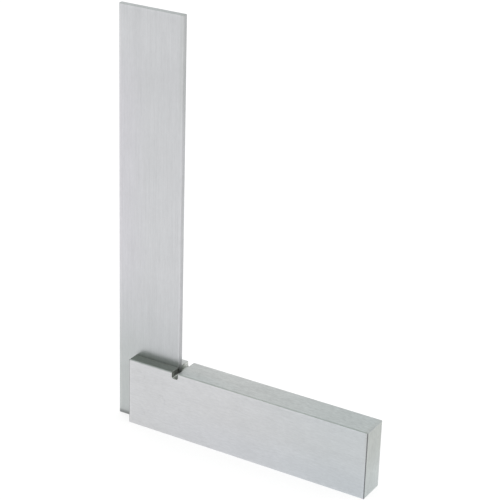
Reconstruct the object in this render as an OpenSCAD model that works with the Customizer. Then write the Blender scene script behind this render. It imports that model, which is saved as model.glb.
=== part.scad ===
// Fixed steel square: a thin ground blade seated in a slot through one end of a
// thick stock and held there by three rivets that are ground flush with the cheeks.
// Millimetres. +X runs along the stock, +Y through its thickness, +Z up the blade.
// The origin is at the base, under the middle of the square's outline.

/* [Blade] */
// Length of the blade, from the base of the stock to the blade's tip
blade_length = 150; // [80:1:300]
// Width of the blade
blade_width = 25; // [20:0.5:30]
// Thickness of the blade
blade_thickness = 1.8; // [1:0.1:2.5]
// How far the blade's outer edge stands out past the end of the stock
blade_overhang = 7; // [2:0.5:8]
// Bevel along the blade's two measuring edges
blade_edge_bevel = 0.2; // [0.05:0.05:0.3]
// Bevel along the blade's two ends
blade_end_bevel = 0.3; // [0.1:0.05:0.4]

/* [Stock] */
// Outside length of the base, from the blade's outer edge to the stock's free end
base_length = 100; // [60:1:200]
// Height of the stock
stock_height = 25; // [20:1:35]
// Thickness of the stock
stock_thickness = 10.5; // [8:0.5:16]
// Bevel along the outer edges of the stock
stock_bevel = 0.3; // [0.1:0.05:0.6]

/* [Slot] */
// Gap between each face of the blade and the slot
slot_gap = 0.02; // [0.01:0.01:0.05]
// Bevel along the mouth of the slot
slot_mouth_bevel = 0.15; // [0.05:0.05:0.3]

/* [Relief notch] */
// Width of the notch in the inner corner
notch_width = 2.5; // [1.5:0.1:4]
// Depth of the notch
notch_depth = 2.3; // [1:0.1:4]
// Radius of the two corners at the bottom of the notch
notch_radius = 0.7; // [0.2:0.1:0.7]
// How far the notch reaches behind the blade's inner edge
notch_undercut = 0.3; // [0.1:0.1:0.8]
// Bevel along the mouth of the notch
notch_mouth_bevel = 0.05; // [0.05:0.05:0.3]

/* [Rivets] */
// Diameter of a rivet's shank
rivet_d = 3; // [2:0.5:4]
// Diameter of a rivet's head where it is ground flush
rivet_head_d = 4; // [4:0.5:5]
// Depth of a rivet's conical head
rivet_head_depth = 0.6; // [0.3:0.1:1]
// Gap between a rivet and its hole
rivet_gap = 0.02; // [0.01:0.01:0.05]
// Distance of the two outer rivets from the end of the stock
rivet_end_distance = 4.5; // [3.5:0.5:6]
// Distance of the two outer rivets from the stock's top and base
rivet_edge_distance = 5.5; // [4:0.5:7]
// Distance of the inner rivet from the blade's inner edge
rivet_inner_distance = 5; // [4:0.5:7]

/* [Hidden] */

$fn = 64;

blade_left = -base_length / 2;
blade_right = blade_left + blade_width;
stock_left = blade_left + blade_overhang;
stock_right = base_length / 2;
stock_length = stock_right - stock_left;
face_y = stock_thickness / 2;

notch_left = blade_right - notch_undercut;
notch_floor = stock_height - notch_depth;

// Places of the rivets' axes, as [x, z]
upper_rivet = [stock_left + rivet_end_distance, stock_height - rivet_edge_distance];
lower_rivet = [stock_left + rivet_end_distance, rivet_edge_distance];
inner_rivet = [blade_right - rivet_inner_distance, stock_height / 2];
RIVETS = [upper_rivet, lower_rivet, inner_rivet];

// Cutting shapes reach this far past the faces that they cut
past = 1;

blade_colour = [0.80, 0.81, 0.81];
stock_colour = [0.79, 0.80, 0.81];
rivet_colour = [0.76, 0.77, 0.78];

// Rectangle with its first corner at the origin and its four corners cut off
module bevelled_rectangle(w, h, bevel) {
    polygon([
        [bevel, 0], [w - bevel, 0], [w, bevel], [w, h - bevel],
        [w - bevel, h], [bevel, h], [0, h - bevel], [0, bevel],
    ]);
}

// Bar with its first corner at the origin. The bevels are those of the edges that
// run along X, along Y and along Z.
module bevelled_bar(size, bevels) {
    intersection() {
        rotate([90, 0, 90])
            linear_extrude(size.x)
                bevelled_rectangle(size.y, size.z, bevels.x);
        translate([0, size.y, 0])
            rotate([90, 0, 0])
                linear_extrude(size.y)
                    bevelled_rectangle(size.x, size.z, bevels.y);
        linear_extrude(size.z)
            bevelled_rectangle(size.x, size.y, bevels.z);
    }
}

// Groove outline about the Y axis of its plane: w wide, open at its end at h, where
// its mouth widens by the bevel on each side
module groove_outline(w, h, bevel) {
    polygon([
        [-w / 2, 0], [w / 2, 0], [w / 2, h - bevel],
        [w / 2 + bevel + past, h + past], [-w / 2 - bevel - past, h + past],
        [-w / 2, h - bevel],
    ]);
}

// The slot: it runs through the full height of the stock and is open at its end
module slot() {
    w = blade_thickness + 2 * slot_gap;
    slot_length = blade_right + slot_gap - stock_left;
    middle = stock_height / 2;
    // mouths at the top and at the base
    for (turn = [0, 180])
        translate([stock_left - past, 0, middle])
            rotate([turn, 0, 0])
                rotate([90, 0, 90])
                    linear_extrude(slot_length + past)
                        groove_outline(w, middle, slot_mouth_bevel);
    // mouth at the end of the stock
    translate([blade_right + slot_gap, 0, -past])
        rotate([0, 0, 90])
            linear_extrude(stock_height + 2 * past)
                groove_outline(w, slot_length, slot_mouth_bevel);
}

// The relief notch: it crosses the whole stock under the blade's inner edge
module notch() {
    translate([notch_left + notch_width / 2, face_y + past, notch_floor])
        rotate([90, 0, 0])
            linear_extrude(stock_thickness + 2 * past) {
                translate([0, notch_radius])
                    groove_outline(notch_width, notch_depth - notch_radius, notch_mouth_bevel);
                translate([notch_radius - notch_width / 2, 0])
                    square([notch_width - 2 * notch_radius, notch_radius + 0.1]);
                for (side = [-1, 1])
                    translate([side * (notch_width / 2 - notch_radius), notch_radius])
                        circle(notch_radius);
            }
}

// Rivet about the Y axis with its heads' faces at both cheeks of the stock. The
// gap is added all round, for the hole that the rivet fills.
module rivet_shape(gap, reach) {
    r = rivet_d / 2 + gap;
    head_r = rivet_head_d / 2 + gap;
    cone = head_r - r;
    neck = face_y - rivet_head_depth;
    // the cone goes on widening over the reach past the face
    far_r = head_r + cone * reach / rivet_head_depth;
    rotate([90, 0, 0])
        rotate_extrude()
            polygon([
                [0, -face_y - reach], [far_r, -face_y - reach], [r, -neck],
                [r, neck], [far_r, face_y + reach], [0, face_y + reach],
            ]);
}

module at_rivet(place) {
    translate([place.x, 0, place.y])
        children();
}

module blade() {
    color(blade_colour)
        difference() {
            translate([blade_left, -blade_thickness / 2, 0])
                bevelled_bar([blade_width, blade_thickness, blade_length],
                             [blade_end_bevel, blade_edge_bevel, blade_edge_bevel]);
            for (place = RIVETS)
                at_rivet(place)
                    rotate([90, 0, 0])
                        cylinder(h = blade_thickness + 2 * past, d = rivet_d + 2 * rivet_gap,
                                 center = true);
        }
}

module stock() {
    color(stock_colour)
        difference() {
            translate([stock_left, -face_y, 0])
                bevelled_bar([stock_length, stock_thickness, stock_height],
                             [stock_bevel, stock_bevel, stock_bevel]);
            slot();
            notch();
            for (place = RIVETS)
                at_rivet(place)
                    rivet_shape(rivet_gap, past);
        }
}

module rivet(place) {
    color(rivet_colour)
        at_rivet(place)
            rivet_shape(0, 0);
}

blade();
stock();
rivet(upper_rivet);  // rivet_upper
rivet(lower_rivet);  // rivet_lower
rivet(inner_rivet);  // rivet_inner
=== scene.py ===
"""Fixed steel square: a ground blade riveted into the slotted end of a thick ground stock.

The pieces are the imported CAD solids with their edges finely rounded, and ground steel on them.
Everything is in metres, in the CAD frame: X along the stock, Y through it, Z up the blade.
"""
import math

import bmesh
import bpy
from mathutils import Matrix, Vector


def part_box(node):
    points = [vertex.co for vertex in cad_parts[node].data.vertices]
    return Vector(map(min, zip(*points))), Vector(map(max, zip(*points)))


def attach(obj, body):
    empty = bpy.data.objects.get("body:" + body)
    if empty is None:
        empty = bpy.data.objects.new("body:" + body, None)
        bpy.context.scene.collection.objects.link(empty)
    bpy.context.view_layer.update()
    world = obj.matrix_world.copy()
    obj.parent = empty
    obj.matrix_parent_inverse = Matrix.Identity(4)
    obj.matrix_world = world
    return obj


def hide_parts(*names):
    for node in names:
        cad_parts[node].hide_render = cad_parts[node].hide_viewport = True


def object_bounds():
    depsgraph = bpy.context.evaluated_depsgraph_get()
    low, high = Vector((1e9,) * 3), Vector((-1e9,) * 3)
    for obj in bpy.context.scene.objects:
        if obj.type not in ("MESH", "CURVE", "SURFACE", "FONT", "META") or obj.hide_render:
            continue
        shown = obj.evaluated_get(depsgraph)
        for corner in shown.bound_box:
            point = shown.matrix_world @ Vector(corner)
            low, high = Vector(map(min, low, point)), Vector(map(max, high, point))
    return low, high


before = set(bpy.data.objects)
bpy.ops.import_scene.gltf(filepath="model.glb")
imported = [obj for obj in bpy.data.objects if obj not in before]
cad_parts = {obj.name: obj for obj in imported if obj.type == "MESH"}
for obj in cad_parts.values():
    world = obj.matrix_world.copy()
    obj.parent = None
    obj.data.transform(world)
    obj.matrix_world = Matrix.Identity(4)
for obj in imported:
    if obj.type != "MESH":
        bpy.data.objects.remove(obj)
cad_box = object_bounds()

MM = 0.001
X, Y, Z = range(3)

# ---------------------------------------------------------------- places, from the CAD
BLADE_LOW, BLADE_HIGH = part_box("blade")
STOCK_LOW, STOCK_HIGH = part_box("stock")
CENTRE = (cad_box[0] + cad_box[1]) / 2

# ---------------------------------------------------------------- camera
CAMERA_AZIMUTH = math.radians(29.94)
CAMERA_ELEVATION = math.radians(23.79)
CAMERA_ROLL = math.radians(1.81)
CAMERA_DISTANCE = 0.5606
CAMERA_LENS = 124.0
CAMERA_SENSOR = 36.0
CAMERA_AIM = CENTRE + Vector((1.0, 0.0, 0.4)) * MM
CAMERA_NEAR = 0.01
CAMERA_FAR = 50.0

# ---------------------------------------------------------------- edges
EDGE_ROUNDING = 0.04 * MM
EDGE_STEPS = 2
SHARP_ANGLE = math.radians(20)
FLAT_ANGLE = math.radians(0.6)
WELD_DISTANCE = 0.001 * MM
# No bevel reaches deeper than this into a piece's box
SKIN = 0.35 * MM
# A face is slanted when no part of its unit normal reaches this
SLANTED = 0.99


def direction(azimuth, elevation):
    """The unit vector from the object towards a place at that azimuth, 0 at -Y, and elevation."""
    return Vector((
        math.sin(azimuth) * math.cos(elevation),
        -math.cos(azimuth) * math.cos(elevation),
        math.sin(elevation),
    ))


# ---------------------------------------------------------------- light
FLOOR_REACH = 6.0
FLOOR_GLOW = 0.74
FLOOR_GREY = 0.34
DARK_SIDE = direction(math.radians(-24), math.radians(18))
DARK_CORE = math.radians(26)
DARK_EDGE = math.radians(54)
BRIGHT_ROOM = (0.83, 0.86, 0.85)
DARK_ROOM = (0.315, 0.360, 0.300)


# ---------------------------------------------------------------- node helpers
class Nodes:
    """Short calls that add and join shader nodes."""

    def __init__(self, tree):
        self.tree = tree
        tree.nodes.clear()

    def add(self, kind, **settings):
        node = self.tree.nodes.new(kind)
        for key, value in settings.items():
            setattr(node, key, value)
        return node

    def put(self, socket, value):
        if isinstance(value, bpy.types.NodeSocket):
            self.tree.links.new(value, socket)
        else:
            socket.default_value = value

    def maths(self, operation, *values):
        node = self.add("ShaderNodeMath", operation=operation)
        for socket, value in zip(node.inputs, values):
            self.put(socket, value)
        return node.outputs[0]

    def total(self, *values):
        result = values[0]
        for value in values[1:]:
            result = self.maths("ADD", result, value)
        return result

    def centred(self, value, size):
        """value, from 0 to 1, as a swing of that size about zero."""
        return self.maths("MULTIPLY", self.maths("SUBTRACT", value, 0.5), size)

    def vector(self, operation, *values):
        node = self.add("ShaderNodeVectorMath", operation=operation)
        for socket, value in zip(node.inputs, values):
            self.put(socket, value)
        return node.outputs["Value" if operation == "DOT_PRODUCT" else "Vector"]

    def scaled(self, vector, factor):
        node = self.add("ShaderNodeVectorMath", operation="SCALE")
        self.put(node.inputs[0], vector)
        self.put(node.inputs["Scale"], factor)
        return node.outputs[0]

    def split(self, vector):
        node = self.add("ShaderNodeSeparateXYZ")
        self.put(node.inputs[0], vector)
        return node.outputs

    def ramp(self, value, low, high, to_low=0.0, to_high=1.0):
        """value from low..high to to_low..to_high, smoothly and clamped."""
        node = self.add("ShaderNodeMapRange", interpolation_type="SMOOTHSTEP")
        for socket, number in zip(node.inputs, (value, low, high, to_low, to_high)):
            self.put(socket, number)
        return node.outputs[0]

    def noise(self, vector, scale, detail=2.0, roughness=0.5):
        node = self.add("ShaderNodeTexNoise")
        self.put(node.inputs["Vector"], vector)
        node.inputs["Scale"].default_value = scale
        node.inputs["Detail"].default_value = detail
        node.inputs["Roughness"].default_value = roughness
        return node.outputs[0]

    def mix(self, factor, a, b):
        node = self.add("ShaderNodeMix", data_type="RGBA")
        for name, value in (("Factor_Float", factor), ("A_Color", a), ("B_Color", b)):
            self.put(next(s for s in node.inputs if s.identifier == name), value)
        return next(s for s in node.outputs if s.identifier == "Result_Color")

    def bump(self, height, distance):
        node = self.add("ShaderNodeBump")
        node.inputs["Strength"].default_value = 1.0
        node.inputs["Distance"].default_value = distance
        self.put(node.inputs["Height"], height)
        return node.outputs[0]

    def finish(self, shader, output="ShaderNodeOutputMaterial"):
        node = self.add(output)
        self.put(node.inputs["Surface"], shader.outputs[0])

    def patched(self, tint, in_metres, patches):
        """tint times the tint of every patch.

        patches is a list of (limits, tint), for painted shade, painted reflections and
        other changes of tone. limits is a list of (axis, where the patch ends, where it is
        full). in_metres and the places are in metres, and the axes are X, Y and Z.
        """
        for limits, patch_tint in patches:
            inside = 1.0
            for axis, ends, full in limits:
                inside = self.maths("MULTIPLY", inside, self.ramp(in_metres[axis], ends, full))
            tint = self.vector("MULTIPLY", tint, self.mix(inside, PLAIN, (*patch_tint, 1.0)))
        return tint


# ---------------------------------------------------------------- materials
PLAIN = (1.0, 1.0, 1.0, 1.0)
TO_MM = (1 / MM,) * 3
# The polish beside an outer edge starts this far inside the box, and is full where the bevel ends
POLISH_REACH = 1.3 * MM
BEVEL_REACH = 0.3 * MM
POLISH_TONE = 0.045
# How strongly the broad layers show in the steel's tone
BANDS_TONE = 0.06
MOTTLE_TONE = 0.06
CLOUDS_TONE = 0.12
# How much more of the pattern shows on the faces across X and Z
NARROW_FACE_GRAIN = 2.0
# The patterns of two seeds lie this many millimetres apart
SEED_STEP = (37.0, 11.0, 23.0)
STEEL_ROUGHNESS = 0.36
STEEL_ANISOTROPY = 0.35
STEEL_BUMP = 0.004 * MM
CUT_BUMP = 0.02 * MM


def grain_layers(n, place, across, axes):
    """The layers of a ground finish, each a value from 0 to 1.

    Where across is 0 the grain runs along the first of the axes, and where it is 1 along
    the second. place is in millimetres.
    """
    def grain(across_scale, along_scale, detail, roughness):
        """Streaks with these numbers of waves per millimetre across and along the grain."""
        streaked = []
        for axis in axes:
            scale = [across_scale] * 3
            scale[axis] = along_scale
            space = n.vector("MULTIPLY", place, tuple(scale))
            streaked.append(n.noise(space, 1.0, detail, roughness))
        return n.mix(across, *streaked)

    return {
        "hairlines": grain(7.0, 0.10, 2.0, 0.6),
        "streaks": grain(1.6, 0.04, 2.0, 0.5),
        "scratches": grain(1.6, 0.65, 2.0, 0.6),
        "fine_scratches": grain(6.0, 0.40, 3.0, 0.65),
        "bands": grain(0.35, 0.01, 1.0, 0.5),
        "mottle": grain(0.45, 0.15, 2.0, 0.6),
        "clouds": n.noise(place, 0.035, 3.0, 0.55),
        "smudges": n.noise(place, 0.16, 4.0, 0.6),
    }


def edge_polish(n, in_metres, facing, place, box):
    """How far handling has polished the faces beside the piece's outer edges, 0 to 1."""
    polish = 0.0
    for axis in (X, Y, Z):
        middle = (box[0][axis] + box[1][axis]) / 2
        half = (box[1][axis] - box[0][axis]) / 2
        off_middle = n.maths("ABSOLUTE", n.maths("SUBTRACT", in_metres[axis], middle))
        near = n.ramp(off_middle, half - POLISH_REACH, half - BEVEL_REACH)
        near = n.maths("MULTIPLY", near, n.ramp(facing[axis], 0.5, 0.9, 1.0, 0.0))
        polish = n.maths("MAXIMUM", polish, near)
    uneven = n.ramp(n.noise(place, 0.35, 2.0, 0.5), 0.3, 0.6, 0.5, 1.0)
    return n.maths("MULTIPLY", polish, uneven)


def bevel_mask(n, facing):
    """1 on the slanted bevels and 0 on the flat faces."""
    flatness = n.maths("MAXIMUM", n.maths("MAXIMUM", facing[X], facing[Y]), facing[Z])
    return n.ramp(flatness, 0.90, 0.99, 1.0, 0.0)


def steel_tone(n, layers, grain_tones, facing, polish, bevel, bevel_tones):
    """How bright the steel is at each point, around 1."""
    pattern = n.total(
        n.centred(layers["bands"], BANDS_TONE),
        n.centred(layers["mottle"], MOTTLE_TONE),
        n.centred(layers["clouds"], CLOUDS_TONE),
        *(n.centred(layers[name], size) for name, size in grain_tones.items()),
    )
    # the narrow faces are less finely ground
    pattern = n.maths("MULTIPLY", pattern, n.ramp(facing[Y], 0.6, 0.9, NARROW_FACE_GRAIN, 1.0))
    tone = n.total(1.0, pattern, n.maths("MULTIPLY", polish, POLISH_TONE))
    # the bevels get painted highlights and painted shade from bevel_tones
    for axis in (X, Y, Z):
        runs_along = n.maths("MULTIPLY", bevel, n.ramp(facing[axis], 0.1, 0.3, 1.0, 0.0))
        tone = n.maths("MULTIPLY", tone, n.ramp(runs_along, 0.0, 1.0, 1.0, bevel_tones[axis]))
    return tone


def steel_roughness(n, layers, polish, bevel):
    return n.total(
        STEEL_ROUGHNESS,
        n.centred(layers["streaks"], 0.14),
        n.centred(layers["smudges"], 0.10),
        n.maths("MULTIPLY", bevel, 0.06),
        n.maths("MULTIPLY", polish, -0.05),
    )


def steel_height(n, layers):
    return n.total(
        n.maths("MULTIPLY", layers["hairlines"], 0.6),
        n.maths("MULTIPLY", layers["streaks"], 0.8),
        n.maths("MULTIPLY", layers["scratches"], 0.5),
        n.maths("MULTIPLY", layers["fine_scratches"], 0.7),
    )


def ground_steel(
    name, box, along, end_along, grain_tones, colour, face_tints, bevel_tones, patches, seed
):
    """Steel ground along one axis. The faces across that axis are ground along end_along.

    box is the lowest and highest corner of the piece, or of the stock for a rivet that is
    flush with it. grain_tones say how strongly some of the layers of the grain show.
    face_tints are painted shade: the tints of the faces across X, Y and Z, which set how
    bright each side looks under the light. bevel_tones are painted highlights and painted
    shade: how bright the bevels that run along X, Y and Z are. Nodes.patched says what
    patches holds.
    """
    material = bpy.data.materials.new(name)
    material.use_nodes = True
    n = Nodes(material.node_tree)
    coords = n.add("ShaderNodeTexCoord")
    in_metres = n.split(coords.outputs["Object"])
    place = n.vector("MULTIPLY", coords.outputs["Object"], TO_MM)
    # each seed shows another part of the pattern
    place = n.vector("ADD", place, tuple(seed * step for step in SEED_STEP))
    normal = n.split(coords.outputs["Normal"])
    facing = [n.maths("ABSOLUTE", normal[axis]) for axis in (X, Y, Z)]
    # how much a point belongs to a face across the grain
    across = n.ramp(facing[along], 0.6, 0.8)

    layers = grain_layers(n, place, across, (along, end_along))
    polish = edge_polish(n, in_metres, facing, place, box)
    bevel = bevel_mask(n, facing)
    tone = steel_tone(n, layers, grain_tones, facing, polish, bevel, bevel_tones)
    tint = n.scaled(colour, tone)
    # painted shade: each face is darkened by how light falls on its side
    for axis in (X, Y, Z):
        face = n.ramp(facing[axis], 0.85, 0.97)
        tint = n.vector("MULTIPLY", tint, n.mix(face, PLAIN, (*face_tints[axis], 1.0)))
    tint = n.patched(tint, in_metres, patches)

    # the highlight spreads across the grain
    directions = [[0.0, 0.0, 0.0, 1.0], [0.0, 0.0, 0.0, 1.0]]
    directions[0][along] = 1.0
    directions[1][end_along] = 1.0
    grain_direction = n.mix(across, *directions)
    tangent = n.vector("CROSS_PRODUCT", coords.outputs["Normal"], grain_direction)

    shader = n.add("ShaderNodeBsdfPrincipled")
    shader.inputs["Metallic"].default_value = 1.0
    shader.inputs["Anisotropic"].default_value = STEEL_ANISOTROPY
    n.put(shader.inputs["Base Color"], tint)
    n.put(shader.inputs["Roughness"], steel_roughness(n, layers, polish, bevel))
    n.put(shader.inputs["Normal"], n.bump(steel_height(n, layers), STEEL_BUMP))
    n.put(shader.inputs["Tangent"], tangent)
    n.finish(shader)
    return material


def cut_steel(name, colour, patches):
    """The dull dark inside of the slot, the notch and the rivet holes, with cutter marks."""
    material = bpy.data.materials.new(name)
    material.use_nodes = True
    n = Nodes(material.node_tree)
    coords = n.add("ShaderNodeTexCoord")
    place = n.vector("MULTIPLY", coords.outputs["Object"], TO_MM)
    marks = n.noise(n.vector("MULTIPLY", place, (3.0, 0.3, 3.0)), 1.0, 3.0, 0.6)
    stains = n.noise(place, 0.8, 4.0, 0.6)
    tint = n.scaled(colour, n.ramp(n.maths("ADD", marks, stains), 0.6, 1.4, 0.5, 1.6))
    tint = n.patched(tint, n.split(coords.outputs["Object"]), patches)
    shader = n.add("ShaderNodeBsdfPrincipled")
    shader.inputs["Metallic"].default_value = 0.95
    n.put(shader.inputs["Base Color"], tint)
    n.put(shader.inputs["Roughness"], n.ramp(stains, 0.3, 0.7, 0.28, 0.44))
    n.put(shader.inputs["Normal"], n.bump(marks, CUT_BUMP))
    n.finish(shader)
    return material


def floor_material():
    """White glass of a light table: it is lit from above and glows from below."""
    material = bpy.data.materials.new("pale_floor")
    material.use_nodes = True
    n = Nodes(material.node_tree)
    shader = n.add("ShaderNodeBsdfPrincipled")
    shader.inputs["Base Color"].default_value = (FLOOR_GREY, FLOOR_GREY, FLOOR_GREY, 1)
    shader.inputs["Roughness"].default_value = 1.0
    shader.inputs["Specular IOR Level"].default_value = 0.0
    shader.inputs["Emission Color"].default_value = (1, 1, 1, 1)
    shader.inputs["Emission Strength"].default_value = FLOOR_GLOW
    n.finish(shader)
    return material


# ---------------------------------------------------------------- pieces
def is_cut(face, low, high):
    """True for the walls of a slot, notch or hole, and for the broken edges of a groove.

    A wall lies deeper in the piece's box than the bevels reach. The broken edge of a
    groove slants and lies at an end, the top or the base, and not along an edge of the box.
    """
    centre = face.calc_center_median()
    at_side = [not low[i] + SKIN < centre[i] < high[i] - SKIN for i in range(3)]
    slants = max(abs(v) for v in face.normal) < SLANTED
    return not any(at_side) or (slants and at_side.count(True) == 1 and not at_side[1])


def is_flush(face, low, high):
    """True for the walls of a rivet's head and its seat, which are ground together."""
    centre = face.calc_center_median()
    at_side = [not low[i] + SKIN < centre[i] < high[i] - SKIN for i in range(3)]
    return at_side == [False, True, False] and max(abs(v) for v in face.normal) < SLANTED


def rounded_copy(node, name, skin, cut):
    """The CAD node's solid with its sharp edges finely rounded, in the node's own place.

    The edges of a flush rivet's head and its seat stay sharp. The outer faces get the skin
    material, and the walls of cuts and holes the other.
    """
    low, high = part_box(node)
    mesh = bpy.data.meshes.new(name)
    work = bmesh.new()
    work.from_mesh(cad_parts[node].data)
    bmesh.ops.remove_doubles(work, verts=work.verts, dist=WELD_DISTANCE)
    bmesh.ops.dissolve_limit(
        work, angle_limit=FLAT_ANGLE, verts=work.verts, edges=work.edges, delimit=set()
    )
    for face in work.faces:
        face.smooth = True
    sharp = [
        e for e in work.edges
        if e.is_manifold and e.calc_face_angle() > SHARP_ANGLE
        and not any(is_flush(f, low, high) for f in e.link_faces)
    ]
    bmesh.ops.bevel(
        work,
        geom=sharp,
        offset=EDGE_ROUNDING,
        offset_type="OFFSET",
        segments=EDGE_STEPS,
        profile=0.5,
        affect="EDGES",
        clamp_overlap=True,
        loop_slide=True,
        material=-1,
    )
    bmesh.ops.remove_doubles(work, verts=work.verts, dist=WELD_DISTANCE)
    work.normal_update()
    for face in work.faces:
        face.smooth = True
        face.material_index = int(is_cut(face, low, high))
    work.to_mesh(mesh)
    work.free()
    mesh.materials.append(skin)
    mesh.materials.append(cut)
    piece = bpy.data.objects.new(name, mesh)
    bpy.context.scene.collection.objects.link(piece)
    weighted = piece.modifiers.new("flat_faces", "WEIGHTED_NORMAL")
    weighted.mode = "FACE_AREA"
    weighted.weight = 100
    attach(piece, "root")
    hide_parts(node)
    return piece


def grey(tone):
    return (tone, tone, tone)


# The limit that keeps a patch to the stock's inner face
INNER_FACE = (Z, STOCK_HIGH.z - 0.4 * MM, STOCK_HIGH.z - 0.05 * MM)

BLADE_PATCHES = [
    # painted shade and painted reflection: the blade is darker near the stock, where the stock shades
    # it and it mirrors the dark cheek
    ([(Z, STOCK_HIGH.z + 36 * MM, STOCK_LOW.z + 18 * MM),
      (X, BLADE_HIGH.x, BLADE_HIGH.x - 0.7 * MM)], (0.868, 0.883, 0.880)),
    # it is a little greener near its foot, along its outer edge
    ([(Z, STOCK_HIGH.z + 18 * MM, STOCK_LOW.z + 15 * MM),
      (X, BLADE_LOW.x + 18 * MM, BLADE_LOW.x + 6 * MM)], (0.983, 1.000, 0.973)),
    # painted shade: its very end is darker, as it mirrors the shade under its foot
    ([(Z, BLADE_LOW.z + 2.0 * MM, BLADE_LOW.z + 0.6 * MM)], grey(0.55)),
    ([(Z, BLADE_LOW.z + 4.0 * MM, BLADE_LOW.z + 0.6 * MM)], grey(0.90)),
    # it is lighter beside its outer edge higher up
    ([(Z, STOCK_HIGH.z + 5 * MM, STOCK_HIGH.z + 45 * MM),
      (Z, BLADE_HIGH.z, BLADE_HIGH.z - 40 * MM),
      (X, BLADE_LOW.x + 14 * MM, BLADE_LOW.x)], (1.045, 1.027, 1.05)),
    # its inner edge is darker near the tip, and the face beside it a little
    ([(Z, BLADE_HIGH.z - 50 * MM, BLADE_HIGH.z - 20 * MM),
      (X, BLADE_HIGH.x - 2.2 * MM, BLADE_HIGH.x - 0.4 * MM)], (0.92, 0.93, 0.91)),
    ([(Z, BLADE_HIGH.z - 32 * MM, BLADE_HIGH.z - 20 * MM),
      (X, BLADE_HIGH.x - 7 * MM, BLADE_HIGH.x - 3 * MM)], grey(0.982)),
    # painted shade: it is darker where it lies in the notch's shadow
    ([(Z, STOCK_HIGH.z + 0.3 * MM, STOCK_HIGH.z - 0.7 * MM),
      (X, BLADE_HIGH.x - 3 * MM, BLADE_HIGH.x - 1 * MM)], grey(0.55)),
]
STOCK_PATCHES = [
    # it is lighter near the blade, and bluer and darker towards the free end
    ([(X, STOCK_HIGH.x, STOCK_LOW.x)], grey(1.025)),
    ([(X, CENTRE.x - 8 * MM, STOCK_HIGH.x)], (0.910, 0.945, 0.950)),
    # painted reflection: it is a little lighter and bluer along the base, where it mirrors the bright
    # floor
    ([(Z, STOCK_LOW.z + 16 * MM, STOCK_LOW.z + 3 * MM),
      (X, STOCK_LOW.x, CENTRE.x)], (1.010, 1.020, 1.040)),
    # its inner face is darker and bluer beside the notch, and a little brighter in the middle
    ([(X, CENTRE.x + 6 * MM, CENTRE.x - 13 * MM),
      (Y, CENTRE.y + 1 * MM, STOCK_LOW.y + 1 * MM), INNER_FACE], (0.915, 0.935, 0.940)),
    ([(X, CENTRE.x - 14 * MM, CENTRE.x - 4 * MM),
      (X, CENTRE.x + 26 * MM, CENTRE.x + 14 * MM), INNER_FACE], (1.020, 1.016, 1.017)),
    # the upright bevels at the slotted end are dark
    ([(X, STOCK_LOW.x + 0.36 * MM, STOCK_LOW.x + 0.30 * MM),
      (Y, STOCK_LOW.y + 0.45 * MM, STOCK_LOW.y + 0.30 * MM)], grey(0.45)),
    ([(X, STOCK_LOW.x + 0.36 * MM, STOCK_LOW.x + 0.30 * MM),
      (Y, STOCK_HIGH.y - 0.45 * MM, STOCK_HIGH.y - 0.30 * MM)], grey(0.45)),
    # the free end is darker towards its top
    ([(X, STOCK_HIGH.x - 1.5 * MM, STOCK_HIGH.x - 0.4 * MM),
      (Z, STOCK_LOW.z + 4 * MM, STOCK_LOW.z + 22 * MM)], (0.92, 0.91, 0.893)),
]
CUT_PATCHES = [
    # painted shade: the notch is darker beside the blade, where little light gets in
    ([(X, BLADE_HIGH.x - 0.5 * MM, BLADE_HIGH.x - 0.3 * MM),
      (Y, CENTRE.y - 3.2 * MM, CENTRE.y - 1.4 * MM),
      (Y, CENTRE.y + 3.2 * MM, CENTRE.y + 1.4 * MM)], grey(0.62)),
    # painted shade: the cuts in the front cheek are darker, as they get less light than the back
    # cheek's
    ([(Y, CENTRE.y + 2 * MM, CENTRE.y - 2 * MM)], grey(0.92)),
]

# the blade's face_tints and bevel_tones are painted shade and painted highlights
blade_steel = ground_steel(
    "blade_steel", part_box("blade"), along=Z, end_along=X,
    grain_tones={"hairlines": 0.11, "streaks": 0.15, "scratches": 0.09, "fine_scratches": 0.16},
    colour=(0.576, 0.582, 0.597),
    face_tints=(grey(0.795), grey(1.0), grey(0.9)),
    bevel_tones=(1.2, 0.8, 0.88), patches=BLADE_PATCHES, seed=1,
)
# the rivets' heads are ground with the stock, so they share its grain and its colour
STOCK_GRAIN = {"hairlines": 0.10, "streaks": 0.06, "scratches": 0.18, "fine_scratches": 0.22}
STOCK_COLOUR = (0.605, 0.608, 0.620)
# painted shade on the faces across Y, for the stock and the rivets
CHEEK_TINT = grey(0.992)
# the stock's face_tints and bevel_tones are painted shade and painted highlights
stock_steel = ground_steel(
    "stock_steel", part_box("stock"), along=X, end_along=Z,
    grain_tones=STOCK_GRAIN, colour=STOCK_COLOUR,
    face_tints=((0.868, 0.882, 0.840), CHEEK_TINT, (0.983, 0.982, 0.960)),
    bevel_tones=(1.14, 1.0, 0.35), patches=STOCK_PATCHES, seed=2,
)
rivet_steel = ground_steel(
    "rivet_steel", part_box("stock"), along=X, end_along=Z,
    grain_tones=STOCK_GRAIN, colour=STOCK_COLOUR,
    face_tints=(grey(1.0), CHEEK_TINT, grey(1.0)),
    bevel_tones=(1.0, 1.0, 1.0), patches=STOCK_PATCHES, seed=2,
)
dark_cut = cut_steel("dark_cut", (0.50, 0.515, 0.49), CUT_PATCHES)

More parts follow.
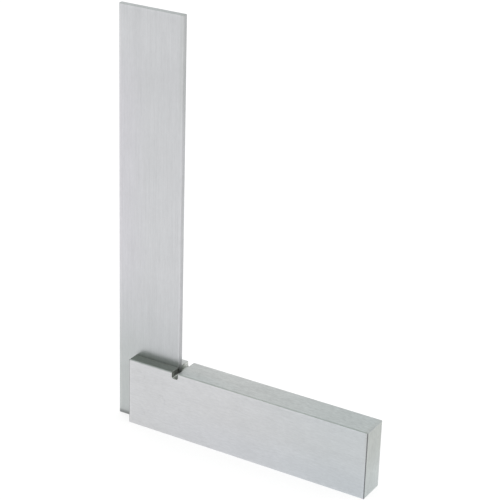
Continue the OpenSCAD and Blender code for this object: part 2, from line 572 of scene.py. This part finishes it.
rounded_copy("blade", "ground_blade", blade_steel, dark_cut)
rounded_copy("stock", "ground_stock", stock_steel, dark_cut)
for rivet in ("rivet_upper", "rivet_lower", "rivet_inner"):
    rounded_copy(rivet, "flush_" + rivet, rivet_steel, dark_cut)


# ---------------------------------------------------------------- stage
def floor():
    mesh = bpy.data.meshes.new("floor")
    corners = [(x * FLOOR_REACH, y * FLOOR_REACH, 0) for x, y in ((-1, -1), (1, -1), (1, 1), (-1, 1))]
    mesh.from_pydata(corners, [], [(0, 1, 2, 3)])
    mesh.materials.append(floor_material())
    ground = bpy.data.objects.new("floor", mesh)
    bpy.context.scene.collection.objects.link(ground)


def studio_light():
    """An even white room, which lights the floor. The steel mirrors it a little darker,
    with a dark side in front of the square, to the left of the camera."""
    world = bpy.data.worlds.new("studio")
    world.use_nodes = True
    bpy.context.scene.world = world
    n = Nodes(world.node_tree)
    coords = n.add("ShaderNodeTexCoord")
    towards_dark = n.vector("DOT_PRODUCT", coords.outputs["Generated"], tuple(DARK_SIDE))
    darkness = n.ramp(towards_dark, math.cos(DARK_EDGE), math.cos(DARK_CORE))
    mirrored = n.mix(darkness, (*BRIGHT_ROOM, 1), (*DARK_ROOM, 1))
    ray = n.add("ShaderNodeLightPath")
    colour = n.mix(ray.outputs["Is Glossy Ray"], (1, 1, 1, 1), mirrored)
    back = n.add("ShaderNodeBackground")
    n.put(back.inputs["Color"], colour)
    n.finish(back, "ShaderNodeOutputWorld")


def camera():
    data = bpy.data.cameras.new("camera")
    data.lens = CAMERA_LENS
    data.sensor_width = CAMERA_SENSOR
    data.clip_start = CAMERA_NEAR
    data.clip_end = CAMERA_FAR
    eye = bpy.data.objects.new("camera", data)
    bpy.context.scene.collection.objects.link(eye)
    back = direction(CAMERA_AZIMUTH, CAMERA_ELEVATION)
    turn = back.to_track_quat("Z", "Y").to_matrix().to_4x4()
    roll = Matrix.Rotation(CAMERA_ROLL, 4, "Z")
    eye.matrix_world = Matrix.Translation(CAMERA_AIM + back * CAMERA_DISTANCE) @ turn @ roll
    bpy.context.scene.camera = eye


floor()
studio_light()
camera()
bpy.context.scene.view_settings.view_transform = "Standard"
